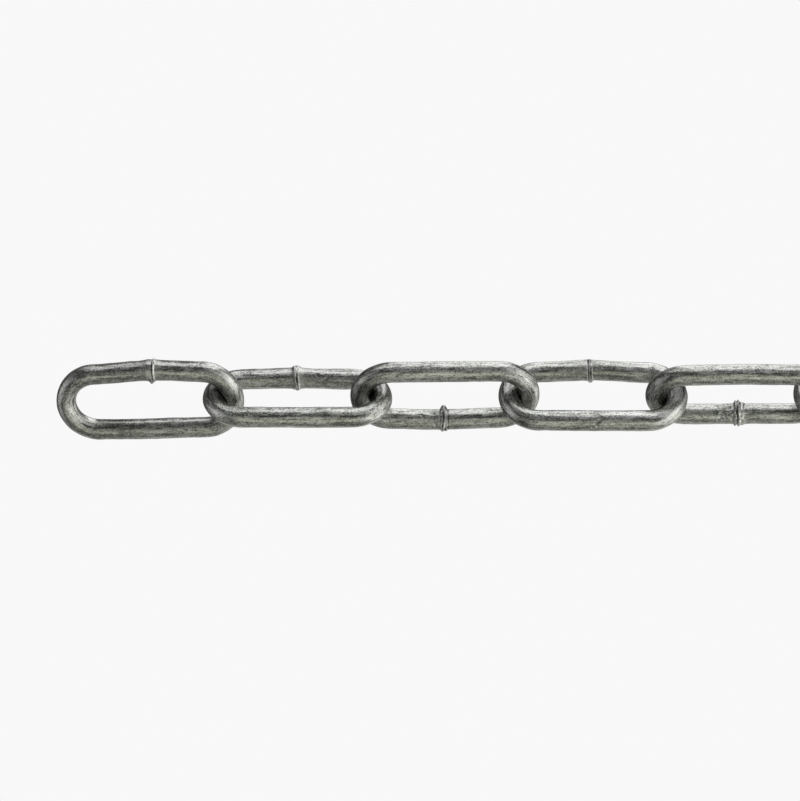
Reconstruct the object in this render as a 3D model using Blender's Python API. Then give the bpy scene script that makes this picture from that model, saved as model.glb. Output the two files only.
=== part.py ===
"""A one-metre length of long-link welded steel chain, laid straight on a level floor.

Each link is one piece of round wire, bent into a long loop and butt-welded in the middle of one leg.
The links lean over to alternate sides, so each stands about square to the next, with one leg on the
floor. The chain runs along X, and its frame's origin is at the middle of its underside.
"""

import math
from dataclasses import dataclass

import bpy
import numpy as np
from mathutils import Vector

# The link: 6 mm wire, 42 mm inside length, 24 mm outside width
WIRE = 0.006
INSIDE_LENGTH = 7 * WIRE
LINK_WIDTH = 4 * WIRE
BEND_RADIUS = (LINK_WIDTH - WIRE) / 2
CROWN_REACH = (INSIDE_LENGTH + WIRE) / 2
LEG_HALF = CROWN_REACH - BEND_RADIUS

# How far a weld's collar of upset metal slopes down to the plain wire on each side
COLLAR_SLOPE = 0.0009

# The chain: a length as sold by the metre
LINK_COUNT = 24
CONTACT_GAP = 0.0003

# How finely the round shapes are cut: an odd count of chords puts a flat at the middle of each bow
BOW_CHORDS = 9
WIRE_SIDES = 12

# How finely two bows are compared, to see where they touch
BOW_STEPS = 48
PULL_STEP = 0.000005

STEEL_COLOUR = (0.40, 0.41, 0.385, 1.0)


@dataclass
class Weld:
    """A butt weld, in the middle of the raised leg or of the one on the floor.

    The leg bulges outwards by bulge there. The collar of upset metal is swell times as thick as the
    wire, over twice half_length.
    """

    raised: bool
    bulge: float
    half_length: float
    swell: float


@dataclass
class Lie:
    """How one link lies: its lean from flat, its drift across the floor at each end, and its rise.

    raised_side is 1 where the leg on the +Y side is the one off the floor, and -1 where the other is.
    """

    raised_side: int
    lean_deg: float
    drift_start: float
    drift_end: float
    weld: Weld
    end_rise: float = 0.0

    @property
    def weld_side(self):
        return self.raised_side if self.weld.raised else -self.raised_side


# The five links at the start of the chain, one by one; the first slopes up to the end that is held
FIRST_LINKS = [
    Lie(1, 30.3, -0.0015, -0.0004, Weld(True, 0.0010, 0.0003, 1.10), end_rise=0.0044),
    Lie(-1, 53.7, -0.0002, -0.0002, Weld(False, 0.0006, 0.0010, 1.16)),
    Lie(1, 43.9, 0.0004, 0.0009, Weld(False, 0.0006, 0.0008, 1.20)),
    Lie(-1, 41.3, 0.0004, 0.0002, Weld(False, 0.0009, 0.0003, 1.12)),
    Lie(1, 53.0, 0.0007, 0.0009, Weld(False, 0.0008, 0.0013, 1.22)),
]

# The links after them: the lean and drift wander about these values
USUAL_LEAN_DEG = 46
LEAN_WANDER_DEG = 3
DRIFT_WANDER = 0.0009
DRIFT_TURN = 0.9

# Their welds wander about these values, and one in so many is on the raised leg
USUAL_WELD = Weld(False, bulge=0.0007, half_length=0.0007, swell=1.15)
BULGE_WANDER = 0.0002
HALF_LENGTH_WANDER = 0.0004
SWELL_WANDER = 0.05
RAISED_WELD_EVERY = 3

# The last link has no neighbour to hold its far end up, so it leans less and slopes down to it
LAST_LEAN_DEG = 32
LAST_RISE = -0.0044


def wander(step, rate):
    """A smooth number between -1 and 1 that differs from one link to the next."""
    return math.sin(rate * step + 0.6)


def drift_before(index):
    """How far to the side the chain lies where the link with this index starts."""
    return DRIFT_WANDER * math.cos(DRIFT_TURN * (index - len(FIRST_LINKS)))


def later_weld(index):
    """The weld of the link with this index, after those listed one by one."""
    return Weld(
        raised=index % RAISED_WELD_EVERY == 0,
        bulge=USUAL_WELD.bulge + BULGE_WANDER * wander(index, 1.7),
        half_length=USUAL_WELD.half_length + HALF_LENGTH_WANDER * wander(index, 2.9),
        swell=USUAL_WELD.swell + SWELL_WANDER * wander(index, 4.1),
    )


def later_link(index):
    """How the link with this index lies, after those listed one by one."""
    last = index == LINK_COUNT - 1
    return Lie(
        raised_side=1 if index % 2 == 0 else -1,
        lean_deg=LAST_LEAN_DEG if last else USUAL_LEAN_DEG + LEAN_WANDER_DEG * wander(index, 2.3),
        drift_start=drift_before(index),
        drift_end=drift_before(index + 1),
        weld=later_weld(index),
        end_rise=LAST_RISE if last else 0.0,
    )


def lies_of_links():
    """How every link lies, from the start of the chain to its end."""
    return FIRST_LINKS + [later_link(i) for i in range(len(FIRST_LINKS), LINK_COUNT)]


def bow_points(end):
    """The wire's centre line round one bow, from the -Y leg to the +Y leg; end is 1 at +X, -1 at -X.

    The middles of its chords lie on the round centre line, so that the crown is where it should be.
    """
    turn = math.pi / (BOW_CHORDS + 1)
    reach = BEND_RADIUS / math.cos(turn / 2)
    angles = [turn * (k - BOW_CHORDS / 2) for k in range(BOW_CHORDS + 1)]
    return [(end * (LEG_HALF + reach * math.cos(a)), reach * math.sin(a), 1.0) for a in angles]


def collar_points(weld):
    """The weld's collar on the +Y leg, from +X to -X: places on the centre line, and the wire's swell."""
    peak = BEND_RADIUS + weld.bulge
    reach = weld.half_length + COLLAR_SLOPE
    foot = peak - weld.bulge * reach / LEG_HALF
    return [
        (reach, foot, 1.0),
        (weld.half_length, peak, weld.swell),
        (-weld.half_length, peak, weld.swell),
        (-reach, foot, 1.0),
    ]


def centre_line(lie):
    """The closed centre line of a link as (x, y, swell), with its weld on the side that lie says."""
    points = bow_points(1) + collar_points(lie.weld) + bow_points(-1)[::-1]
    return [(x, lie.weld_side * y, swell) for x, y, swell in points]


def flat_turn(lie, is_end):
    """The turn of the wire's section, in radians, that puts one of its flats where something bears on it.

    An end link has it on the inside of its bows, and any other link has it under the leg on the floor.
    The corners of the bows are mitred, which narrows the section a little across the link.
    """
    if is_end:
        return 0.0
    lean = math.radians(lie.lean_deg)
    narrowed = math.cos(math.pi / (BOW_CHORDS + 1) / 2)
    return lie.weld_side * lie.raised_side * math.atan2(math.cos(lean), narrowed * math.sin(lean))


def steel_material():
    """Dull galvanised steel."""
    material = bpy.data.materials.new("galvanised_steel")
    material.use_nodes = True
    shader = material.node_tree.nodes["Principled BSDF"]
    shader.inputs["Base Color"].default_value = STEEL_COLOUR
    shader.inputs["Metallic"].default_value = 1.0
    shader.inputs["Roughness"].default_value = 0.42
    material.diffuse_color = STEEL_COLOUR
    return material


def link_curve(name, lie, is_end, material):
    """A link as a closed, bevelled curve in its own frame: X along it, Y from leg to leg."""
    curve = bpy.data.curves.new(name, "CURVE")
    curve.dimensions = "3D"
    curve.twist_mode = "Z_UP"
    # The many-sided section has the area of the round wire
    side_angle = 2 * math.pi / WIRE_SIDES
    curve.bevel_depth = WIRE / 2 * math.sqrt(side_angle / math.sin(side_angle))
    curve.bevel_resolution = WIRE_SIDES // 2 - 2
    points = centre_line(lie)
    spline = curve.splines.new("POLY")
    spline.points.add(len(points) - 1)
    spline.use_cyclic_u = True
    spline.use_smooth = True
    for point, (x, y, swell) in zip(spline.points, points):
        point.co = (x, y, 0.0, 1.0)
        point.radius = swell
        point.tilt = side_angle / 2 + flat_turn(lie, is_end)
    curve.materials.append(material)
    return curve


def surface_points(link):
    """Every point of a link's surface where it lies, one in a row."""
    bpy.context.view_layer.update()
    evaluated = link.evaluated_get(bpy.context.evaluated_depsgraph_get())
    points = np.array([evaluated.matrix_world @ vertex.co for vertex in evaluated.to_mesh().vertices])
    evaluated.to_mesh_clear()
    return points


def bow_line(link, end):
    """Closely spaced points on the round centre line of one bow where it lies, one in a row."""
    bpy.context.view_layer.update()
    angles = [math.pi * (k / BOW_STEPS - 0.5) for k in range(BOW_STEPS + 1)]
    bow = [(LEG_HALF + BEND_RADIUS * math.cos(a), BEND_RADIUS * math.sin(a)) for a in angles]
    return np.array([link.matrix_world @ Vector((end * x, y, 0.0)) for x, y in bow])


def pull_tight(link, previous):
    """Pulls a link along the chain, until its bow bears on the bow of the previous one."""
    behind, here = bow_line(previous, 1), bow_line(link, -1)
    start = behind[:, 0].max() - here[:, 0].min() - WIRE - BEND_RADIUS
    slack, too_far = 0.0, 2 * BEND_RADIUS
    while too_far - slack > PULL_STEP:
        pull = (slack + too_far) / 2
        apart = here[:, None] + (start + pull, 0.0, 0.0) - behind[None]
        if np.linalg.norm(apart, axis=2).min() > WIRE + CONTACT_GAP:
            slack = pull
        else:
            too_far = pull
    link.location.x += start + slack


def lay_link(link, lie, previous):
    """Sets a link down on the floor, hooked through the previous one."""
    yaw = math.atan2(lie.drift_end - lie.drift_start, 2 * CROWN_REACH)
    rise = math.atan2(lie.end_rise, 2 * CROWN_REACH)
    link.rotation_euler = (lie.raised_side * math.radians(lie.lean_deg), -rise, yaw)
    link.location.y = (lie.drift_start + lie.drift_end) / 2
    link.location.z -= surface_points(link)[:, 2].min()
    if previous:
        pull_tight(link, previous)


def centre_on_origin(links):
    """Moves all links together, so that the origin is at the middle of the chain's underside."""
    points = np.concatenate([surface_points(link) for link in links])
    middle = (points.min(axis=0) + points.max(axis=0)) / 2
    for link in links:
        link.location.x -= middle[0]
        link.location.y -= middle[1]


def wire_through_bow(previous, link):
    """Where the middle of the previous link's wire passes through the plane of this link."""
    bpy.context.view_layer.update()
    to_link = link.matrix_world.inverted()
    line = [to_link @ Vector(point) for point in bow_line(previous, 1)]
    for a, b in zip(line, line[1:]):
        if a.z * b.z <= 0:
            return link.matrix_world @ a.lerp(b, a.z / (a.z - b.z))
    raise ValueError(f"{link.name} isn't hooked through {previous.name}")


def hang_from(child, parent):
    """Makes one object the child of another, and keeps it where it is."""
    bpy.context.view_layer.update()
    child.parent = parent
    child.matrix_parent_inverse = parent.matrix_world.inverted()


def add_hinge(previous, link, collection):
    """Adds the empty whose Z axis this link swings about, inside the bow of the previous link."""
    hinge = bpy.data.objects.new(link.name.replace("link", "hinge"), None)
    hinge.empty_display_type = "SINGLE_ARROW"
    hinge.empty_display_size = LINK_WIDTH
    hinge.location = wire_through_bow(previous, link)
    hinge.rotation_euler = link.rotation_euler
    collection.objects.link(hinge)
    hang_from(hinge, previous)
    hang_from(link, hinge)


def clear_scene():
    """Removes the scene's own objects."""
    for obj in list(bpy.data.objects):
        bpy.data.objects.remove(obj)


def build_chain():
    """Makes every link and lays it, in their order along the chain."""
    collection = bpy.data.collections.new("long_link_chain")
    bpy.context.scene.collection.children.link(collection)
    steel = steel_material()
    links = []
    for index, lie in enumerate(lies_of_links()):
        name = f"link_{index + 1:02d}"
        is_end = index in (0, LINK_COUNT - 1)
        link = bpy.data.objects.new(name, link_curve(name, lie, is_end, steel))
        collection.objects.link(link)
        lay_link(link, lie, links[-1] if links else None)
        links.append(link)
    centre_on_origin(links)
    for previous, link in zip(links, links[1:]):
        add_hinge(previous, link, collection)


clear_scene()
build_chain()
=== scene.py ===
import math

import bpy
import numpy as np
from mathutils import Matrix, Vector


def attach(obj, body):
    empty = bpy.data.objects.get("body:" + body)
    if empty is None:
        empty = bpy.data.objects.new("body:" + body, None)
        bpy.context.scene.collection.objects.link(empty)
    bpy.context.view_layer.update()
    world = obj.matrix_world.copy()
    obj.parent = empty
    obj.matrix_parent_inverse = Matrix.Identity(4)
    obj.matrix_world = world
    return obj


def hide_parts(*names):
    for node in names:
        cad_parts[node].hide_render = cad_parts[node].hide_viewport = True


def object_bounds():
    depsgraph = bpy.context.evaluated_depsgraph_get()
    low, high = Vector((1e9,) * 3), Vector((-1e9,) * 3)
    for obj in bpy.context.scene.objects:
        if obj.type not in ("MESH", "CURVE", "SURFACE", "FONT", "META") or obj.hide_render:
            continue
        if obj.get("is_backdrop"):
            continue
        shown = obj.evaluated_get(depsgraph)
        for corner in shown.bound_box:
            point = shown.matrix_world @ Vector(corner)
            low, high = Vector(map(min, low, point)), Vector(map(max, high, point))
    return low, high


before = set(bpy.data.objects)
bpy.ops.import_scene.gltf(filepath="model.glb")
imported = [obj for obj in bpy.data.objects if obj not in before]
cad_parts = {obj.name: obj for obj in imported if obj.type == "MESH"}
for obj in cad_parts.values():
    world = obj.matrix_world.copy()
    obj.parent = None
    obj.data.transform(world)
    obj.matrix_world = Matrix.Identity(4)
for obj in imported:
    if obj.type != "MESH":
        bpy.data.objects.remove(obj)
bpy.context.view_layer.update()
print("frame loaded with", len(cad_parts), "links")

millimetre = 0.001

# Everything about the wire's own form, in metres
wireForm = {
    "radius": 0.00290,
    "bendRadius": 0.009,       # of the wire's middle, round each end of a link
    "legHalf": 0.015,          # half of a straight leg, from the weld to where the bend starts
    "peakSoftness": 0.0009,    # how round the leg's peak is at the weld
    "footSoftness": 0.25,      # share of the half leg over which the bulge starts
    "plainArch": 0.0001,       # how much the leg without a weld bows outwards
    "crownThinning": 0.00030,  # off the outside of each bend, where bending stretched the wire
    "thinningPower": 1.5,      # how softly that starts, along the wire and round it
}

# How finely the skins are cut, in metres; near is within weldReach of the weld
skinDetail = {
    "shown": {"sides": 72, "ring": 0.00030, "ringNearWeld": 0.00012},
    "others": {"sides": 40, "ring": 0.00050, "ringNearWeld": 0.00020},
    "weldReach": 0.0045,
    "bowStep": 0.0003,         # between the points of a bow that its neighbour is measured to
    "shownLinks": 5,
}

# The unevenness of drawn and bent wire: waves along the wire and round it, and small pits in the zinc
wireWear = {
    "waves": 60,
    "wavesAtFullHeight": 4,    # of all the waves, how many would make the height below by themselves
    "waveHeight": 0.000035,
    "shortestWave": 0.0028,
    "longestWave": 0.030,
    "mostLobes": 4,
    "insideCalm": 0.8,         # how much of the waves is lost inside a bow, where wires bear
    "pits": 26,
    "pitSize": (0.00018, 0.00042),
    "pitDepth": (0.00003, 0.00010),
    "pitReach": 3,             # how far from its middle a pit is worked out, in its own sizes
}

luckStart = {"wire": 100, "marks": 500}  # seeds of the first link; each next link has the next one

# How far along the chain a weld is from the middle of its leg, in millimetres
weldShift = {"link_01": 1.2, "link_02": -0.25, "link_03": -0.2, "link_04": -0.35, "link_05": 0.2}

# How far a link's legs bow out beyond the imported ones, in millimetres: the welded leg, the plain one
legBow = {"link_05": (0.28, 0.28)}

# How a packed link is read
linkReading = {
    "decimals": 7,             # to which its points are rounded, in metres
    "bowsPast": 0.9,           # share of the half leg past which its bows lie
    "collarWithin": 0.5,       # share of the half leg within which its weld's collar lies
    "peakWithin": 0.4 * millimetre,  # how far from the collar's middle its peak may lie
}


def loopLength():
    return 4 * wireForm["legHalf"] + 2 * math.pi * wireForm["bendRadius"]


def readLink(node):
    # Where a packed link lies: its middle, its directions, and the side and peak of its weld
    points = np.array([vertex.co for vertex in node.data.vertices]).round(linkReading["decimals"])
    points = np.unique(points, axis=0)
    spread = points - points.mean(axis=0)
    lengthwise = np.linalg.svd(spread, full_matrices=False)[2][0]
    reach = spread @ lengthwise
    reach -= (reach.max() + reach.min()) / 2
    bows = points[np.abs(reach) > linkReading["bowsPast"] * wireForm["legHalf"]]
    middle = bows.mean(axis=0)
    directions = np.linalg.svd(bows - middle, full_matrices=False)[2]
    along = directions[0] * np.sign(directions[0][0])
    up = directions[2] * np.sign(directions[2][2])
    across = np.cross(up, along)
    atCollar = np.abs(reach) < linkReading["collarWithin"] * wireForm["legHalf"]
    collar = (points[atCollar] - middle) @ np.array([along, across, up]).T
    fromPeak = np.abs(collar[:, 0])
    top = collar[fromPeak < fromPeak.min() + linkReading["peakWithin"]]
    peak = top.mean(axis=0)
    weldedBow, plainBow = legBow.get(node.name, (0.0, 0.0))
    return {
        "middle": middle,
        "axes": np.array([along, across, up]),
        "side": np.sign(collar[:, 1].mean()),
        "bulge": abs(peak[1]) - wireForm["bendRadius"] + weldedBow * millimetre,
        "plainArch": wireForm["plainArch"] + plainBow * millimetre,
        "collar": np.linalg.norm((top - peak)[:, 1:], axis=1).max(),
        "weldAt": weldShift.get(node.name, 0.0) * millimetre,
    }


def ringPlaces(detail):
    # Distances along the wire's loop, from the weld round and back to it, closer together near the weld
    reach = skinDetail["weldReach"]
    near = np.arange(0, reach, detail["ringNearWeld"])
    count = round((loopLength() - 2 * reach) / detail["ring"])
    far = np.linspace(reach, loopLength() - reach, count)
    return np.concatenate([near, far, loopLength() - near[:0:-1]])


def archOf(x, bulge):
    # The outward bulge of a leg: two straight halves that meet in a soft peak
    u = np.sqrt(x**2 + wireForm["peakSoftness"] ** 2) - wireForm["peakSoftness"]
    v = np.clip(1 - u / wireForm["legHalf"], 0, 1)
    soft = wireForm["footSoftness"]
    return bulge * np.where(v < soft, v**2 / (2 * soft), v - soft / 2) / (1 - soft / 2)


def centreLine(places, link):
    # The wire's middle in the link's own plane, with the weld at +Y, and the outward direction there.
    # The loop has five parts: half the welded leg, a bow, the plain leg, a bow, half the welded leg.
    half, bend = wireForm["legHalf"], wireForm["bendRadius"]
    bowLength = math.pi * bend
    ends = np.cumsum([half, bowLength, 2 * half, bowLength, half])
    x, y, outX, outY = (np.zeros_like(places) for _ in range(4))
    for part in range(5):
        start = ends[part - 1] if part else 0.0
        here = (places >= start) & (places <= ends[part])
        run = places[here] - start
        if part == 2:
            x[here] = half - run
            y[here] = -(bend + archOf(x[here], link["plainArch"]))
            outY[here] = -1
        elif part in (0, 4):
            x[here] = run if part == 0 else run - half
            y[here] = bend + archOf(x[here] - link["weldAt"], link["bulge"])
            outY[here] = 1
        else:
            sign = 1 if part == 1 else -1
            outX[here] = sign * np.sin(run / bend)
            outY[here] = sign * np.cos(run / bend)
            x[here] = sign * half + bend * outX[here]
            y[here] = bend * outY[here]
    return x, y, outX, outY


def bowLine(link):
    # Points on the middle of the wire round both bows of a link, where it lies
    x, y, outX, _ = centreLine(np.arange(0, loopLength(), skinDetail["bowStep"]), link)
    local = np.stack([x, y * link["side"], np.zeros_like(x)], axis=1)[outX != 0]
    return link["middle"] + local @ link["axes"]


def wirePoints(link, line, turns, radius):
    # Points of a link's skin, where it lies, for a radius at every place along the wire and round it
    x, y, outX, outY = (part[:, None] for part in line)
    out = radius * np.cos(turns)[None]
    local = np.stack([
        x + outX * out,
        (y + outY * out) * link["side"],
        radius * np.sin(turns)[None],
    ], axis=-1)
    return link["middle"] + local @ link["axes"]


def alongFrom(place, places):
    # How far along the wire each place is from one place, the short way round the loop
    half = loopLength() / 2
    return (places - place + half) % (2 * half) - half


def turnFacing(link, facing, leg):
    # The turn round a leg, from its outward direction, that faces a way given from straight up
    way = np.array([0.0, math.sin(math.radians(facing)), math.cos(math.radians(facing))])
    return math.atan2(way @ link["axes"][2], leg * (way @ link["axes"][1]))


def aroundFrom(turn, turns):
    # How far round the wire each turn is from one turn, the short way
    return np.angle(np.exp(1j * (turns - turn))) * wireForm["radius"]


def waveField(places, turns, luck):
    # A smooth unevenness that runs on round the loop and round the wire with no step in it
    field = np.zeros((len(places), len(turns)))
    loop = loopLength()
    shortest, longest = math.log(wireWear["shortestWave"]), math.log(wireWear["longestWave"])
    for _ in range(wireWear["waves"]):
        length = math.exp(luck.uniform(shortest, longest))
        lobes = luck.integers(0, wireWear["mostLobes"] + 1)
        cycles = max(1, round(loop / length))
        phase, lean = luck.uniform(0, 2 * math.pi), luck.choice([-1, 1])
        height = math.sqrt(length / wireWear["longestWave"])
        angle = 2 * math.pi * cycles * places[:, None] / loop + lean * lobes * turns[None] + phase
        field += height * np.cos(angle)
    return field * wireWear["waveHeight"] / math.sqrt(wireWear["waves"] / wireWear["wavesAtFullHeight"])


def pitField(places, turns, luck):
    # Small round hollows in the coating
    field = np.zeros((len(places), len(turns)))
    for _ in range(wireWear["pits"]):
        place, turn = luck.uniform(0, loopLength()), luck.uniform(0, 2 * math.pi)
        size, depth = luck.uniform(*wireWear["pitSize"]), luck.uniform(*wireWear["pitDepth"])
        rows = np.abs(places - place) < wireWear["pitReach"] * size
        away = aroundFrom(turn, turns)
        hollow = ((places[rows, None] - place) ** 2 + away[None] ** 2) / size**2
        field[rows] -= depth * np.exp(-hollow)
    return field


def thinnedField(turns, outX):
    # What bending took off the outside of the round section
    power = wireForm["thinningPower"]
    outside = np.clip(np.cos(turns), 0, 1)[None]
    return -wireForm["crownThinning"] * np.abs(outX)[:, None] ** power * outside**power


# Weld flash of the links that the picture shows, lump by lump. at, wide and high are millimetres, at
# along the wire from the weld, and a lump whose high is below 0 is a groove. facing is the way it
# looks, in degrees from straight up towards +Y, and hold is how tightly it keeps to that way: without
# them it goes all round. ragged is how uneven it is, and slant leans it over along the wire.
weldFlash = {
    "link_01": [
        {"at": 0.48, "wide": 0.20, "high": -0.36, "facing": 10, "hold": 1.4, "ragged": 0.6},
        {"at": 0.84, "wide": 0.22, "high": 0.28, "facing": 10, "hold": 1.2, "ragged": 0.4},
        {"at": 0.85, "wide": 0.50, "high": 0.24, "ragged": 0.2},
        {"at": 0.10, "wide": 0.60, "high": 1.00, "facing": -96, "hold": 8},
        {"at": -0.9, "wide": 1.1, "high": 0.18, "ragged": 0.2},
        {"at": 2.0, "wide": 0.8, "high": 0.08},
    ],
    "link_02": [
        {"at": -0.50, "wide": 0.34, "high": 0.30, "slant": 0.55, "ragged": 1.2, "facing": -40, "hold": 1.2},
        {"at": -0.12, "wide": 0.17, "high": -0.30, "slant": 0.40, "ragged": 0.8, "facing": -20, "hold": 2.2},
        {"at": 0.30, "wide": 0.22, "high": 0.26, "slant": 0.15, "ragged": 0.4, "facing": -40, "hold": 1.2},
        {"at": -0.30, "wide": 1.05, "high": 0.50, "facing": 84, "hold": 3, "blunt": True},
        {"at": -0.62, "wide": 0.20, "high": 0.20, "facing": 40, "hold": 30},
        {"at": 0.18, "wide": 0.22, "high": -0.22, "facing": 46, "hold": 30},
        {"at": -0.20, "wide": 0.95, "high": 0.26, "facing": -88, "hold": 3, "blunt": True},
        {"at": 0.9, "wide": 0.8, "high": 0.12},
        {"at": 0.0, "wide": 1.8, "high": 0.12},
    ],
    "link_03": [
        {"at": -0.15, "wide": 0.88, "high": 0.98, "facing": 88, "hold": 7, "blunt": True},
        {"at": -0.15, "wide": 0.42, "high": 0.34, "facing": 10, "hold": 1.5, "ragged": 0.3},
        {"at": -0.22, "wide": 0.30, "high": -0.60, "facing": 16, "hold": 14},
        {"at": -0.05, "wide": 0.20, "high": 0.24, "facing": 50, "hold": 6},
        {"at": -0.15, "wide": 1.30, "high": 0.36, "facing": -66, "hold": 5, "blunt": True},
        {"at": -0.95, "wide": 0.32, "high": 0.30, "facing": -42, "hold": 40},
        {"at": -0.20, "wide": 0.30, "high": 0.34, "facing": -50, "hold": 60},
        {"at": 0.75, "wide": 0.28, "high": 0.34, "facing": -34, "hold": 50},
        {"at": 0.55, "wide": 0.30, "high": 0.30, "facing": -66, "hold": 50},
        {"at": -0.60, "wide": 0.34, "high": 0.28, "facing": -78, "hold": 30},
        {"at": 0.20, "wide": 0.30, "high": -0.46, "facing": -58, "hold": 45},
        {"at": -0.60, "wide": 0.28, "high": -0.42, "facing": -38, "hold": 45},
        {"at": 0.85, "wide": 0.26, "high": -0.36, "facing": -50, "hold": 45},
        {"at": -1.25, "wide": 0.20, "high": -0.16, "ragged": 0.4},
        {"at": 1.05, "wide": 0.20, "high": -0.16, "ragged": 0.4},
        {"at": 0.0, "wide": 1.7, "high": 0.12},
    ],
    "link_04": [
        {"at": -0.78, "wide": 0.16, "high": -0.24, "slant": 0.10, "ragged": 0.5, "facing": -20, "hold": 3},
        {"at": -0.50, "wide": 0.18, "high": 0.24, "slant": 0.10, "facing": -30, "hold": 2},
        {"at": -0.20, "wide": 0.16, "high": -0.26, "slant": 0.10, "ragged": 0.5, "facing": -24, "hold": 3},
        {"at": 0.06, "wide": 0.18, "high": 0.20, "slant": 0.10, "facing": -30, "hold": 2},
        {"at": -0.86, "wide": 0.18, "high": -0.24, "facing": 56, "hold": 7},
        {"at": -0.34, "wide": 0.24, "high": 0.24, "facing": 58, "hold": 7},
        {"at": -0.06, "wide": 0.64, "high": 0.58, "facing": -94, "hold": 6, "blunt": True},
        {"at": -1.1, "wide": 1.0, "high": 0.15},
    ],
    "link_05": [
        {"at": -1.15, "wide": 0.32, "high": 0.34, "ragged": 1.3},
        {"at": -0.70, "wide": 0.15, "high": -0.24, "ragged": 1.2},
        {"at": -0.28, "wide": 0.30, "high": 0.36, "ragged": 1.3},
        {"at": -0.70, "wide": 0.80, "high": 0.42, "facing": 82, "hold": 4, "blunt": True},
        {"at": -0.90, "wide": 0.28, "high": 0.26, "facing": 38, "hold": 50},
        {"at": -0.40, "wide": 0.26, "high": 0.26, "facing": 10, "hold": 60},
        {"at": -1.00, "wide": 0.30, "high": 0.24, "facing": -22, "hold": 50},
        {"at": 0.10, "wide": 0.26, "high": 0.26, "facing": -48, "hold": 60},
        {"at": -0.70, "wide": 0.22, "high": -0.28, "facing": 24, "hold": 60},
        {"at": -0.60, "wide": 0.22, "high": -0.28, "facing": -8, "hold": 60},
        {"at": -0.30, "wide": 0.22, "high": -0.24, "facing": -34, "hold": 60},
        {"at": 0.55, "wide": 0.80, "high": 0.18, "ragged": 0.8, "blunt": True},
        {"at": 0.0, "wide": 2.0, "high": 0.16},
    ],
}

# The flash of the links outside the picture, in millimetres. A pair of numbers is a range to draw from.
laterWeld = {
    "rings": [
        {"at": (-0.9, -0.3), "wide": (0.2, 0.5), "high": (0.2, 0.45), "ragged": 0.9},
        {"at": (0.3, 0.9), "wide": (0.2, 0.5), "high": (0.15, 0.4), "ragged": 0.7},
    ],
    "groove": {"at": 0.0, "wide": 0.2, "high": -0.12, "ragged": 0.6},
    "swell": {"at": 0.0, "wide": 1.5, "high": 0.16},
    "drip": {"at": (-0.4, 0.4), "wide": 0.55, "high": (0.3, 0.6), "hold": 6, "blunt": True},
    "dripFacing": [-75, 60, 85],
    "dripShare": 0.5,          # of the links have one
    "downwards": 0.3,          # from 0 to 1, how far down a side must look for flash to be kept low there
    "lowRoom": 0.05,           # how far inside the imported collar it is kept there
    "mostRoom": 1.2,           # the most that it may stand out anywhere else
}

# How ragged a lump is where its own row says 1
raggedness = {
    "wander": 0.12,            # how far it wanders along the wire, in millimetres
    "wanderLobes": (1, 12),    # from one lobe round the wire to fewer than twelve
    "wanderCalm": 3,           # what the sum of the lobes is divided by
    "rough": 0.6,              # share of its height that comes and goes
    "roughLobes": (3, 26),
    "roughCalm": 4,
    "roughRange": (0.1, 2.2),  # the least and the most that its height is multiplied by
    "mostPhase": 6.3,          # how far round a lobe may start, in radians
}


def laterFlash(luck):
    # The flash of a link outside the picture: two rings and a groove between them, sometimes with a drip
    flash = []
    for ring in laterWeld["rings"]:
        drawn = {part: luck.uniform(*ring[part]) for part in ("at", "wide", "high")}
        flash.append({**ring, **drawn})
    flash += [laterWeld["groove"], laterWeld["swell"]]
    if luck.uniform() < laterWeld["dripShare"]:
        drip = laterWeld["drip"]
        facing, high = luck.choice(laterWeld["dripFacing"]), luck.uniform(*drip["high"])
        flash.append({**drip, "facing": facing, "high": high, "at": luck.uniform(*drip["at"])})
    return flash


def roomForFlash(link, turns):
    # How far flash may stand out each way round the wire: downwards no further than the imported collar
    across, up = link["axes"][1:]
    ways = np.cos(turns)[:, None] * link["side"] * across + np.sin(turns)[:, None] * up
    down = np.clip(-ways[:, 2], 0, 1)
    low = link["collar"] - wireForm["radius"] - laterWeld["lowRoom"] * millimetre
    return np.where(down > laterWeld["downwards"], low, laterWeld["mostRoom"] * millimetre)


def lobedLine(turns, lobes, calm, luck):
    # An uneven line round the wire, made of so many lobes
    line = 0
    for lobe in range(*lobes):
        height, phase = luck.uniform(-1, 1), luck.uniform(0, raggedness["mostPhase"])
        line = line + height * np.cos(lobe * turns + phase)
    return line / calm


def flashField(places, turns, link, flash, luck):
    # How far the weld flash stands out, and how deep the grooves are that are cut into it
    field, grooves = (np.zeros((len(places), len(turns))) for _ in range(2))
    fromWeld = alongFrom(link["weldAt"], places)
    for lump in flash:
        wide, high = lump["wide"] * millimetre, lump["high"] * millimetre
        ragged = lump.get("ragged", 0.0)
        wander = lobedLine(turns, raggedness["wanderLobes"], raggedness["wanderCalm"], luck)
        slant = lump.get("slant", 0.0) * np.cos(turns - turnFacing(link, -90, link["side"]))
        shift = (lump["at"] + slant + raggedness["wander"] * ragged * wander) * millimetre
        power = 4 if lump.get("blunt") else 2    # blunt: steep sides and a flat top
        ring = np.exp(-(((fromWeld[:, None] - shift[None]) / wide) ** power))
        if "facing" in lump:
            away = turns - turnFacing(link, lump["facing"], link["side"])
            ring = ring * np.exp(lump["hold"] * (np.cos(away) - 1))[None]
        rough = lobedLine(turns, raggedness["roughLobes"], raggedness["roughCalm"], luck)
        rough = np.clip(1 + raggedness["rough"] * ragged * rough, *raggedness["roughRange"])
        lift = high * ring * rough[None]
        field += lift
        grooves = np.maximum(grooves, -lift)
    return field, grooves


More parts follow.
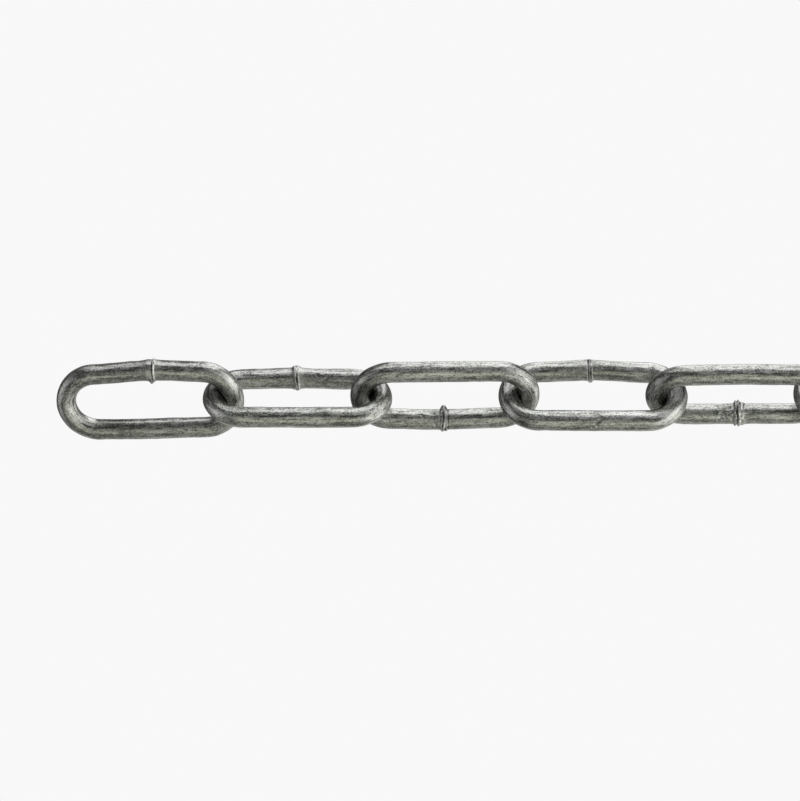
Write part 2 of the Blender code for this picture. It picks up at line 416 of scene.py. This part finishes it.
# Tool marks, pits and dull patches of the shown links, and painted shade on some of their bows. leg is 1 for
# the leg on the +Y side and -1 for the other; at is millimetres along the chain from the link's middle, and
# past the leg's end it goes on round the bow; long and wide are the mark's half sizes and deep its depth, in
# millimetres;
# dull is 0 to 1, and so is the painted shade, which darkens the colour where a neighbouring link shades the
# bow; pits is how many small pits are scattered over it.
toolMarks = {
    "link_01": [
        {"leg": -1, "at": -19.4, "facing": 50, "long": 0.9, "wide": 0.40, "deep": 0.13, "dull": 0.1},
        {"leg": -1, "at": -21.4, "facing": 40, "long": 0.8, "wide": 0.55, "deep": 0.12},
        {"leg": -1, "at": 2.0, "facing": 5, "long": 9.0, "wide": 0.50, "deep": 0.06, "dull": 0.3},
        {"leg": 1, "at": -6.0, "facing": 12, "long": 6.0, "wide": 0.22, "deep": 0.07, "dull": 0.2},
        # painted shade on the bow, where the neighbouring link shades it
        {"leg": 1, "at": 27.0, "facing": -50, "long": 6.0, "wide": 2.4, "paintedShade": 0.5},
    ],
    "link_02": [
        {"leg": -1, "at": 13.6, "facing": 48, "long": 0.8, "wide": 0.22, "deep": 0.12},
        {"leg": -1, "at": 16.8, "facing": 40, "long": 0.6, "wide": 0.30, "deep": 0.14, "dull": 0.1},
        {"leg": -1, "at": -2.0, "facing": -8, "long": 3.6, "wide": 0.20, "deep": 0.08, "dull": 0.2},
        {"leg": 1, "at": 5.5, "facing": -20, "long": 2.4, "wide": 1.6, "deep": 0.03, "dull": 0.5, "pits": 6},
    ],
    "link_03": [
        {"leg": -1, "at": -5.0, "facing": -12, "long": 0.30, "wide": 0.22, "deep": 0.15},
        {"leg": -1, "at": -4.2, "facing": -22, "long": 0.24, "wide": 0.20, "deep": 0.14},
        {"leg": -1, "at": -5.7, "facing": -24, "long": 0.24, "wide": 0.20, "deep": 0.12},
        {"leg": -1, "at": -3.4, "facing": -10, "long": 0.26, "wide": 0.18, "deep": 0.12},
        {"leg": -1, "at": -4.5, "facing": -5, "long": 2.4, "wide": 1.5, "deep": 0.02, "dull": 0.5, "pits": 8},
        # painted shade on the bow, where the neighbouring link shades it
        {"leg": -1, "at": -28.0, "facing": -50, "long": 6.0, "wide": 3.6, "paintedShade": 0.9},
    ],
    "link_04": [
        {"leg": -1, "at": -6.0, "facing": 62, "long": 0.40, "wide": 0.22, "deep": 0.16},
        {"leg": -1, "at": -3.6, "facing": 58, "long": 0.50, "wide": 0.24, "deep": 0.18},
        {"leg": -1, "at": -0.4, "facing": 60, "long": 0.50, "wide": 0.26, "deep": 0.20},
        {"leg": -1, "at": 0.6, "facing": 10, "long": 1.4, "wide": 2.6, "deep": 0.06, "dull": 0.8, "pits": 16},
        {"leg": 1, "at": -3.4, "facing": 0, "long": 3.2, "wide": 2.8, "deep": 0.02, "dull": 0.9, "pits": 6},
        # painted shade on the bow, where the neighbouring link shades it
        {"leg": -1, "at": 28.4, "facing": 44, "long": 5.0, "wide": 2.4, "paintedShade": 1.0},
    ],
    "link_05": [
        {"leg": -1, "at": -3.6, "facing": 15, "long": 2.2, "wide": 3, "deep": 0.03, "dull": 0.9, "pits": 60},
        {"leg": -1, "at": 1.4, "facing": 10, "long": 1.0, "wide": 3, "deep": 0.02, "dull": 0.6, "pits": 14},
    ],
}

# The small pits of a mark: how far round they are strewn in degrees, half sizes and depths in millimetres
markPits = {"facing": (-60, 60), "size": (0.24, 0.46), "deep": (0.10, 0.26)}


def scatteredPits(mark, luck):
    # Small pits strewn over a mark
    pits = []
    for _ in range(mark.get("pits", 0)):
        pits.append({
            "leg": mark["leg"],
            "at": mark["at"] + luck.uniform(-1, 1) * mark["long"],
            "facing": mark["facing"] + luck.uniform(*markPits["facing"]),
            "long": luck.uniform(*markPits["size"]),
            "wide": luck.uniform(*markPits["size"]),
            "deep": luck.uniform(*markPits["deep"]),
        })
    return pits


def markFields(places, turns, link, marks, luck):
    # The hollows of a link's tool marks, how dull they leave the zinc, and the painted shade that some of
    # them lay on a bow
    hollow, dull, paintedShade = (np.zeros((len(places), len(turns))) for _ in range(3))
    for mark in marks + [pit for mark in marks for pit in scatteredPits(mark, luck)]:
        onWeldedLeg = mark["leg"] == link["side"]
        place = mark["at"] * millimetre if onWeldedLeg else loopLength() / 2 - mark["at"] * millimetre
        along = alongFrom(place, places)
        around = aroundFrom(turnFacing(link, mark["facing"], mark["leg"]), turns)
        shape = np.exp(-((along / (mark["long"] * millimetre)) ** 2))[:, None]
        shape = shape * np.exp(-((around / (mark["wide"] * millimetre)) ** 2))[None]
        hollow -= mark.get("deep", 0.0) * millimetre * shape
        dull = np.maximum(dull, mark.get("dull", 0.0) * shape)
        paintedShade = np.maximum(paintedShade, mark.get("paintedShade", 0.0) * shape)
    return hollow, dull, paintedShade


# Where two bows bear on each other, in metres
seatForm = {
    "gap": 0.00003,            # what is left between them
    "most": 0.00050,           # the most that the inside of a bow stands out to meet the next wire
    "fade": (0.0010, 0.0020),  # how far off the next wire may be for all of that, and for any
    "sideEdge": 2.0,           # how sharply it ends round the wire
    "bowEdge": 3,              # how sharply it ends along the wire, where the bow does
    "shadeReach": 0.0050,      # how far off the next wire may be for painted shade to show
    "shadePower": 1.5,         # how fast the painted shade deepens towards it
    "pointsAtOnce": 20,        # of the next wire, so that the sums fit in memory
}


def bearingFields(points, turns, outX, neighbours):
    # Where other wires bear on a bow: how far its inside stands out to meet them, half of the way each,
    # and the painted shade there: a darker colour the nearer the next wire is
    rise, paintedShade = np.zeros(points.shape[:2]), np.zeros(points.shape[:2])
    rows = np.nonzero(outX)[0]
    fadeStart, fadeEnd = seatForm["fade"]
    block = seatForm["pointsAtOnce"]
    for line in neighbours:
        away = np.full((len(rows), len(turns)), 1.0)    # a metre: further than anything here
        for step in range(0, len(line), block):
            apart = points[rows][:, :, None] - line[None, None, step:step + block]
            away = np.minimum(away, np.linalg.norm(apart, axis=3).min(axis=2))
        room = away - wireForm["radius"]
        fade = np.clip((fadeEnd - room) / (fadeEnd - fadeStart), 0, 1)
        seat = np.clip((room - seatForm["gap"]) / 2, 0, seatForm["most"]) * fade
        rise[rows] = np.maximum(rise[rows], seat)
        # painted shade between the links: darker the nearer the next wire is
        near = np.clip(1 - room / seatForm["shadeReach"], 0, 1) ** seatForm["shadePower"]
        paintedShade[rows] = np.maximum(paintedShade[rows], near)
    inside = np.clip(-seatForm["sideEdge"] * np.cos(turns), 0, 1)[None]
    onBow = np.clip(seatForm["bowEdge"] * np.abs(outX), 0, 1)[:, None]
    return rise * (inside * onBow), paintedShade


def besideLink(index):
    # The links before and after one, where there are any
    order = sorted(links)
    return [links[order[k]] for k in (index - 1, index + 1) if 0 <= k < len(order)]


# What each point of a skin tells its finish, from 0 to 1; lengths in metres
finishCues = {
    "weldDull": 0.55,          # how dull the weld's heat left the zinc
    "weldDullReach": 0.0040,   # how far along the wire
    "fullFlash": 0.0004,       # how far flash stands out where it is worn all bright
    "grooveShade": 0.9,        # how much painted shade a deep groove in the flash gets
    "shadedGroove": 0.00028,    # how deep a groove is for all of that painted shade
    "linksApart": 0.37,        # between one link's place in the zinc's pattern and the next one's
}


def storePoints(mesh, name, kind, values):
    # A value for each point of a mesh, which its finish reads by name
    attribute = mesh.attributes.new(name, kind, "POINT")
    part = "vector" if kind == "FLOAT_VECTOR" else "value"
    attribute.data.foreach_set(part, np.asarray(values, np.float32).ravel())


def tubeFaces(rings, sides, turned):
    # Four-sided faces all round a closed loop of wire, turned inside out where turned is true
    corner = np.arange(rings * sides).reshape(rings, sides)
    nextRing, nextSide = np.roll(corner, -1, axis=0), np.roll(corner, -1, axis=1)
    both = np.roll(nextRing, -1, axis=1)
    faces = np.stack([corner, nextRing, both, nextSide], axis=-1).reshape(-1, 4)
    return faces[:, ::-1] if turned else faces


def skinLink(name, index):
    # One link's skin as a closed mesh, with what its finish needs to know stored on its points
    link = links[name]
    shown = index < skinDetail["shownLinks"]
    detail = skinDetail["shown" if shown else "others"]
    luck = np.random.default_rng(luckStart["wire"] + index)
    markLuck = np.random.default_rng(luckStart["marks"] + index)
    places = ringPlaces(detail)
    turns = np.arange(detail["sides"]) * 2 * math.pi / detail["sides"]
    line = centreLine(places, link)
    outX = line[2]

    # The wire as it was drawn and bent, then the weld's flash, the marks and the seats
    waves = waveField(places, turns, luck)
    flash, grooves = flashField(places, turns, link, weldFlash.get(name) or laterFlash(luck), luck)
    if not shown:
        flash = np.minimum(flash, roomForFlash(link, turns)[None])
    # the marks, with painted shade on the bows that a neighbouring link shades
    hollows, dull, markShade = markFields(places, turns, link, toolMarks.get(name, []), markLuck)
    calm = 1 - wireWear["insideCalm"] * np.abs(outX)[:, None] * np.clip(-np.cos(turns), 0, 1)[None]
    radius = wireForm["radius"] + calm * waves + thinnedField(turns, outX)
    neighbours = [bowLine(other) for other in besideLink(index)]
    # the seats, and painted shade where the next link's wire comes close
    seat, paintedShade = bearingFields(wirePoints(link, line, turns, radius), turns, outX, neighbours)
    radius = radius + seat + pitField(places, turns, luck) + flash + hollows

    points = wirePoints(link, line, turns, radius).reshape(-1, 3)
    points[:, 2] = np.maximum(points[:, 2], 0.0)   # flat where it would go into the floor
    rings, sides = radius.shape
    mesh = bpy.data.meshes.new(name + "_skin")
    mesh.from_pydata(points.tolist(), [], tubeFaces(rings, sides, link["side"] > 0).tolist())
    mesh.shade_smooth()

    # Places for the zinc's pattern: along the wire, outwards and across
    storePoints(mesh, "wireSpace", "FLOAT_VECTOR", np.stack([
        np.repeat(places + index * finishCues["linksApart"], sides),
        np.tile(np.cos(turns) * wireForm["radius"], rings),
        np.tile(np.sin(turns) * wireForm["radius"], rings),
    ], axis=-1))
    fromWeld = alongFrom(link["weldAt"], places) / finishCues["weldDullReach"]
    weldDull = finishCues["weldDull"] * np.exp(-(fromWeld**2))[:, None]
    # painted shade in the flash's grooves, darker the deeper the groove
    grooveShade = finishCues["grooveShade"] * np.clip(grooves / finishCues["shadedGroove"], 0, 1)
    storePoints(mesh, "dullness", "FLOAT", np.maximum(dull, weldDull))
    storePoints(mesh, "flash", "FLOAT", np.clip(flash / finishCues["fullFlash"], 0, 1))
    # painted shade: near the next link's wire, on shaded bows and in the flash's grooves
    storePoints(mesh, "paintedShade", "FLOAT", np.maximum(np.maximum(paintedShade, markShade), grooveShade))
    piece = bpy.data.objects.new(name + "_skin", mesh)
    bpy.context.scene.collection.objects.link(piece)
    return piece


# The zinc coating. Sizes and reliefs are in metres. stretch below 1 draws a pattern out along the wire,
# and tone is how much it counts in how bright the zinc is.
zincLook = {
    "bright": (0.752, 0.758, 0.738, 1.0),
    "dull": (0.221, 0.229, 0.212, 1.0),
    "weathered": (0.34, 0.345, 0.328, 1.0),
    "dark": (0.030, 0.031, 0.028, 1.0),
    "streaks": {"size": 0.00062, "stretch": 0.06, "detail": 3.0, "roughness": 0.6, "tone": 0.42},
    "grain": {"size": 0.00034, "stretch": 0.7, "detail": 1.0, "roughness": 0.5, "tone": 0.36},
    "specks": {"size": 0.00085, "stretch": 0.40, "detail": 2.0, "roughness": 0.65, "tone": 0.28},
    "patches": {"size": 0.007, "stretch": 0.5, "detail": 2.0, "roughness": 0.5, "tone": 0.16},
    "cracks": {"size": 0.0022, "stretch": 0.14, "detail": 3.0, "roughness": 0.6},
    "toneRange": 0.11,         # how far either way the tone goes to be all dull or all bright
    "dullTone": 0.03,          # what a dull place takes off the tone
    "crackWidth": 0.010,       # how far from its middle value the cracks' noise still makes one
    "crackedPatches": (0.50, 0.60),  # the patches' value where cracks start, and where all of them show
    "pitSpacing": 0.0010,
    "pitShare": (0.55, 0.75),  # the random value of a place where its pit starts, and where it is full
    "pitEdge": (0.08, 0.22),   # where a pit's dark middle ends, and where its edge does, in spacings
    "pitDark": 0.75,
    "dullCover": 0.35,         # how dark the painted shade makes the most shaded places
    "flashCover": 0.60,        # how bright flash is worn
    "shadeCover": 0.80,        # how dark the grimiest places are
    "roughness": (0.24, 0.38),  # of the dull zinc and of the bright
    "dullRoughness": 0.24,     # what a dull place adds to that
    "flashPolish": 0.14,       # what flash takes off it
    "streakRelief": 0.000022,
    "grainRelief": 0.000008,
    "speckRelief": 0.000026,
    "crackRelief": 0.000050,
    "dullRelief": 1.5,         # how much more relief grain and specks have in a dull place
}


class Graph:
    # Short calls for adding shader nodes to one material
    def __init__(self, tree):
        self.tree = tree

    def feed(self, socket, value):
        if isinstance(value, bpy.types.NodeSocket):
            self.tree.links.new(value, socket)
        else:
            socket.default_value = value

    def add(self, kind, settings, *values, **named):
        # A node with its settings, its first inputs in their order, and others by name
        node = self.tree.nodes.new(kind)
        for name, value in settings.items():
            setattr(node, name, value)
        for place, value in enumerate(values):
            self.feed(node.inputs[place], value)
        for name, value in named.items():
            self.feed(node.inputs[name], value)
        return node

    def cue(self, name, output="Fac"):
        return self.add("ShaderNodeAttribute", {"attribute_name": name}).outputs[output]

    def number(self, operation, *values):
        return self.add("ShaderNodeMath", {"operation": operation}, *values).outputs[0]

    def plus(self, a, b):
        return self.number("ADD", a, b)

    def minus(self, a, b):
        return self.number("SUBTRACT", a, b)

    def times(self, a, b):
        return self.number("MULTIPLY", a, b)

    def vector(self, operation, *values):
        node = self.add("ShaderNodeVectorMath", {"operation": operation}, *values)
        return node.outputs["Value" if operation == "DOT_PRODUCT" else "Vector"]

    def spread(self, value, low, high, start=0.0, end=1.0):
        settings = {"interpolation_type": "SMOOTHSTEP"}
        return self.add("ShaderNodeMapRange", settings, value, low, high, start, end).outputs[0]

    def blend(self, share, a, b):
        node = self.add("ShaderNodeMix", {"data_type": "RGBA"})
        for place, value in ((0, share), (6, a), (7, b)):
            self.feed(node.inputs[place], value)
        return node.outputs[2]

    def pattern(self, wire, form):
        place = self.vector("MULTIPLY", wire, (form["stretch"], 1.0, 1.0))
        return self.add("ShaderNodeTexNoise", {}, Vector=place, Scale=1 / form["size"],
                        Detail=form["detail"], Roughness=form["roughness"]).outputs[0]


def makeZinc(look):
    # The worn zinc: its colour, roughness and fine relief
    material = bpy.data.materials.new("galvanised_steel_finish")
    material.use_nodes = True
    graph = Graph(material.node_tree)
    shader = material.node_tree.nodes["Principled BSDF"]
    wire = graph.cue("wireSpace", "Vector")
    dullness, flash, paintedShade = graph.cue("dullness"), graph.cue("flash"), graph.cue("paintedShade")

    toned = ("streaks", "grain", "specks", "patches")
    patterns = {name: graph.pattern(wire, look[name]) for name in toned}
    crackLine = graph.number("ABSOLUTE", graph.minus(graph.pattern(wire, look["cracks"]), 0.5))
    cracks = graph.times(graph.spread(crackLine, 0.0, look["crackWidth"], 1.0, 0.0),
                         graph.spread(patterns["patches"], *look["crackedPatches"]))
    cells = graph.add("ShaderNodeTexVoronoi", {}, Vector=wire, Scale=1 / look["pitSpacing"])
    pitted = graph.spread(cells.outputs["Color"], *look["pitShare"])
    pits = graph.times(graph.spread(cells.outputs["Distance"], *look["pitEdge"], 1.0, 0.0), pitted)
    scars = graph.number("MAXIMUM", cracks, graph.times(pits, look["pitDark"]))

    # Colour: from dull to bright by the tone, with weathered, scarred and worn places and painted shade over
    # it
    tone = 0.0
    for name in toned:
        tone = graph.plus(tone, graph.times(graph.minus(patterns[name], 0.5), look[name]["tone"]))
    tone = graph.minus(tone, graph.times(dullness, look["dullTone"]))
    light = graph.spread(tone, -look["toneRange"], look["toneRange"])
    colour = graph.blend(light, look["dull"], look["bright"])
    colour = graph.blend(graph.times(dullness, look["dullCover"]), colour, look["weathered"])
    colour = graph.blend(scars, colour, look["dark"])
    colour = graph.blend(graph.times(flash, look["flashCover"]), colour, look["bright"])
    # painted shade: between the links, on shaded bows and in the flash's grooves
    colour = graph.blend(graph.times(paintedShade, look["shadeCover"]), colour, look["dark"])
    graph.feed(shader.inputs["Base Color"], colour)
    shader.inputs["Metallic"].default_value = 1.0
    rough = graph.spread(light, 0.0, 1.0, *look["roughness"])
    rough = graph.plus(rough, graph.times(dullness, look["dullRoughness"]))
    rough = graph.minus(rough, graph.times(flash, look["flashPolish"]))
    graph.feed(shader.inputs["Roughness"], rough)

    # Relief finer than the mesh
    height = graph.times(patterns["grain"], look["grainRelief"])
    height = graph.plus(height, graph.times(patterns["specks"], look["speckRelief"]))
    height = graph.times(height, graph.plus(1.0, graph.times(dullness, look["dullRelief"])))
    height = graph.plus(height, graph.times(patterns["streaks"], look["streakRelief"]))
    height = graph.minus(height, graph.times(scars, look["crackRelief"]))
    bump = graph.add("ShaderNodeBump", {}, Strength=1.0, Distance=1.0, Height=height)
    graph.feed(shader.inputs["Normal"], bump.outputs[0])
    return material


zinc = makeZinc(zincLook)
links = {name: readLink(node) for name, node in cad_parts.items()}
for index, name in enumerate(sorted(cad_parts)):
    piece = skinLink(name, index)
    piece.data.materials.append(zinc)
    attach(piece, name)
    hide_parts(name)
print("links skinned")

# The floor: a pale film with its own even glow. It is thin enough to see a link through it where the
# chain is swung down past it. under is how far it lies below the links, in metres.
floorLook = {"size": 40.0, "glow": 0.94, "cover": 0.05, "under": 0.0001}


def addFloor(look):
    bpy.ops.mesh.primitive_plane_add(size=look["size"])
    floor = bpy.context.object
    floor.name = "pale_floor"
    material = bpy.data.materials.new("pale_floor_finish")
    material.use_nodes = True
    graph = Graph(material.node_tree)
    clear = graph.add("ShaderNodeBsdfTransparent", {}).outputs[0]
    glow = graph.add("ShaderNodeEmission", {}, Strength=look["glow"]).outputs[0]
    film = graph.add("ShaderNodeMixShader", {}, look["cover"], clear, glow).outputs[0]
    graph.feed(material.node_tree.nodes["Material Output"].inputs["Surface"], film)
    floor.data.materials.append(material)
    floor.visible_glossy = False     # the wires mirror the lights below the floor too, not the floor
    floor.visible_shadow = False
    floor.location.z = -look["under"]
    floor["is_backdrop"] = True


# The studio round the chain: an even grey with soft lights far off. heading is where a light stands, in
# degrees from +Y towards +X, and fromTop is how far it stands from straight above; core and edge are
# angles from its middle: full light inside core, none beyond edge.
studioLook = {
    "backdrop": (0.94, 0.94, 0.94, 1.0),
    "even": (0.094, 0.096, 0.095),
    "lights": [
        {"heading": 105, "fromTop": 80, "core": 8, "edge": 60, "strength": 1.05, "tint": (1.0, 1.0, 0.94)},
        {"heading": 40, "fromTop": 62, "core": 5, "edge": 46, "strength": 0.50, "tint": (1.0, 1.0, 1.0)},
        {"heading": 180, "fromTop": 27, "core": 4, "edge": 34, "strength": 0.45, "tint": (0.978, 1.0, 0.83)},
        {"heading": 170, "fromTop": 62, "core": 5, "edge": 45, "strength": 0.27, "tint": (0.978, 1.0, 0.83)},
        {"heading": 180, "fromTop": 140, "core": 5, "edge": 45, "strength": 0.40, "tint": (0.99, 1.0, 0.93)},
        {"heading": 270, "fromTop": 80, "core": 4, "edge": 38, "strength": 0.38, "tint": (1.0, 1.0, 0.98)},
        {"heading": 0, "fromTop": 150, "core": 5, "edge": 40, "strength": 0.12, "tint": (1.0, 1.0, 0.98)},
        {"heading": 84, "fromTop": 78, "core": 6, "edge": 30, "strength": 0.50, "tint": (1.0, 1.0, 0.97)},
        {"heading": 120, "fromTop": 128, "core": 5, "edge": 50, "strength": 0.28, "tint": (1.0, 1.0, 0.94)},
    ],
}

# The softboxes near the chain stand upright. At the +Y side: a large one, from below the floor's level
# to above it, and a small one beside it. At the free end: a small one that faces along the chain.
# turned is in degrees, 0 for facing -Y and 90 for facing +X.
softboxes = [
    {"middle": (-0.295, 0.50, -0.25), "turned": 0, "long": 0.29, "tall": 1.10, "strength": 1.34},
    {"middle": (-0.595, 0.50, 0.10), "turned": 0, "long": 0.31, "tall": 0.40, "strength": 1.05},
    {"middle": (-0.75, -0.125, 0.0), "turned": 90, "long": 0.35, "tall": 0.30, "strength": 0.25},
]


def addStudio(look):
    world = bpy.data.worlds.new("studio")
    bpy.context.scene.world = world
    world.use_nodes = True
    graph = Graph(world.node_tree)
    way = graph.add("ShaderNodeTexCoord", {}).outputs["Generated"]
    shade = look["even"]
    for light in look["lights"]:
        heading, fromTop, core, edge = (
            math.radians(light[part]) for part in ("heading", "fromTop", "core", "edge"))
        level = math.sin(fromTop)
        towards = (level * math.sin(heading), level * math.cos(heading), math.cos(fromTop))
        near = graph.vector("DOT_PRODUCT", way, towards)
        share = graph.spread(near, math.cos(edge), math.cos(core))
        full = tuple(light["strength"] * part for part in light["tint"])
        shade = graph.vector("MULTIPLY_ADD", share, full, shade)
    seen = graph.add("ShaderNodeLightPath", {}).outputs["Is Camera Ray"]
    background = world.node_tree.nodes["Background"]
    graph.feed(background.inputs["Color"], graph.blend(seen, shade, look["backdrop"]))


def addSoftbox(look):
    box = bpy.data.lights.new("softbox", "AREA")
    box.shape, box.size, box.size_y = "RECTANGLE", look["long"], look["tall"]
    box.energy = look["strength"] * math.pi * look["long"] * look["tall"]
    lamp = bpy.data.objects.new("softbox", box)
    lamp.location = look["middle"]
    lamp.rotation_euler = (math.radians(-90), 0.0, math.radians(look["turned"]))
    lamp.visible_camera = False
    bpy.context.scene.collection.objects.link(lamp)


addFloor(floorLook)
addStudio(studioLook)
for look in softboxes:
    addSoftbox(look)
print("floor and studio made")

# The camera looks straight down, as in the picture; pixels count in the picture's 800 by 801 frame
cameraLook = {
    "pixelsWide": 800,
    "pixelsHigh": 801,
    "lens": 200.0,
    "sensor": 36.0,
    "pixelsPerMetre": 3560.0,  # at half the chain's height
    "firstLinkLeft": 55.5,     # where the first link's left edge shows
    "chainRow": 398.5,         # where the chain's middle line shows
    "sees": (0.05, 100.0),     # from how near to how far, in metres
}


def addCamera(look):
    low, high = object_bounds()
    scale = look["pixelsPerMetre"]
    camera = bpy.data.objects.new("camera", bpy.data.cameras.new("camera"))
    camera.data.lens = look["lens"]
    camera.data.sensor_fit = "HORIZONTAL"
    camera.data.sensor_width = look["sensor"]
    camera.location = (
        low.x + (look["pixelsWide"] / 2 - look["firstLinkLeft"]) / scale,
        (look["chainRow"] - look["pixelsHigh"] / 2) / scale,
        (low.z + high.z) / 2 + look["lens"] / look["sensor"] * look["pixelsWide"] / scale,
    )
    camera.data.clip_start, camera.data.clip_end = look["sees"]
    bpy.context.scene.collection.objects.link(camera)
    bpy.context.scene.camera = camera


addCamera(cameraLook)
bpy.context.scene.view_settings.view_transform = "Standard"
print("camera set")

bpy.context.view_layer.update()
